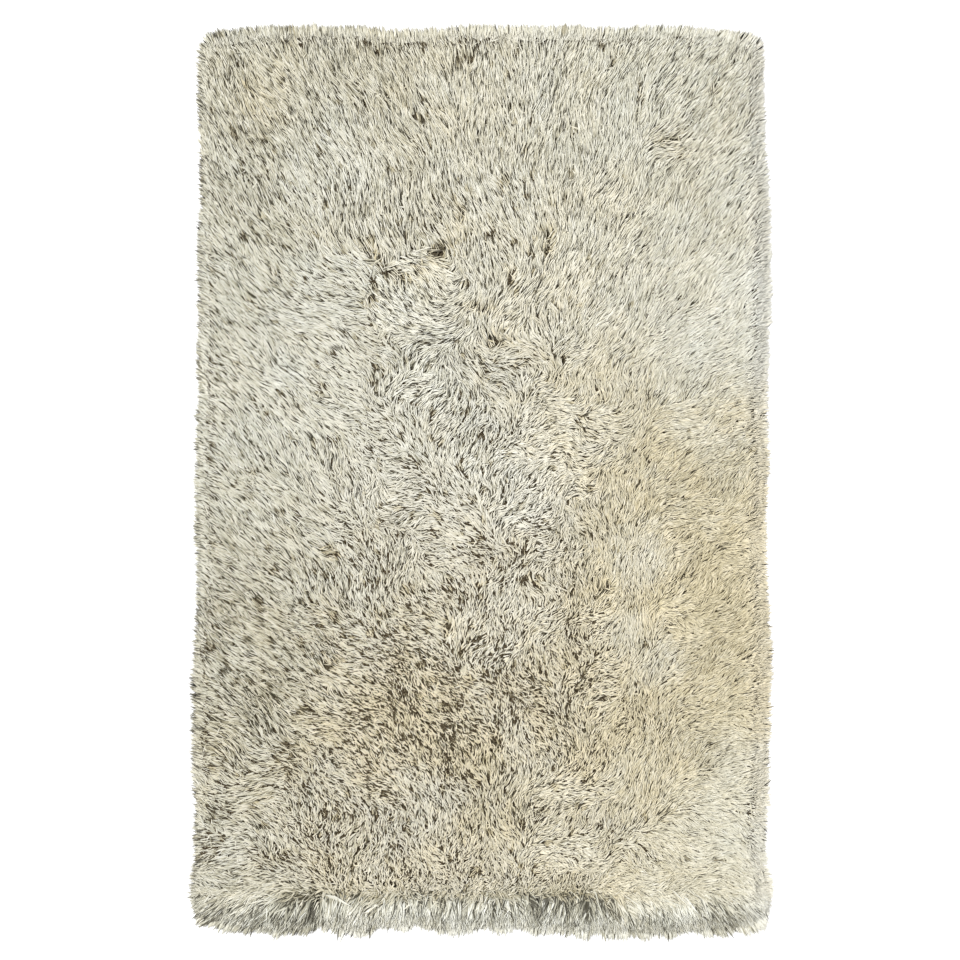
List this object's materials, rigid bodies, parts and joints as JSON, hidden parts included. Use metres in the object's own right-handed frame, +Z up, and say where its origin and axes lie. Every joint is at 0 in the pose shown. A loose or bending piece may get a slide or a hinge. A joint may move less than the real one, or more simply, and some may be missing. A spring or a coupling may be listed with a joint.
{
  "type": "shag rug",
  "caption": "Rectangular shag rug: a flat woven backing cloth with a deep, loose cut pile that is combed outwards and falls over its edges.",
  "frame": {"origin": "middle of the rug's footprint, on the floor that it lies on", "axes": "+Z up through the pile, +Y along the rug to its far end, where the fringe of pile is shortest, +X to the right"},
  "size_m": [1.1498, 1.8, 0.049],
  "materials": {
    "backing_cloth": "plain woven jute and cotton cloth, matt, latex-sized underneath",
    "pile_yarn": "long cut pile of soft polyester yarn, cream to warm beige, with a silky sheen where it lies combed"
  },
  "bodies": {
    "root": {"backing": "backing_cloth", "pile": "pile_yarn"}
  },
  "joints": []
}
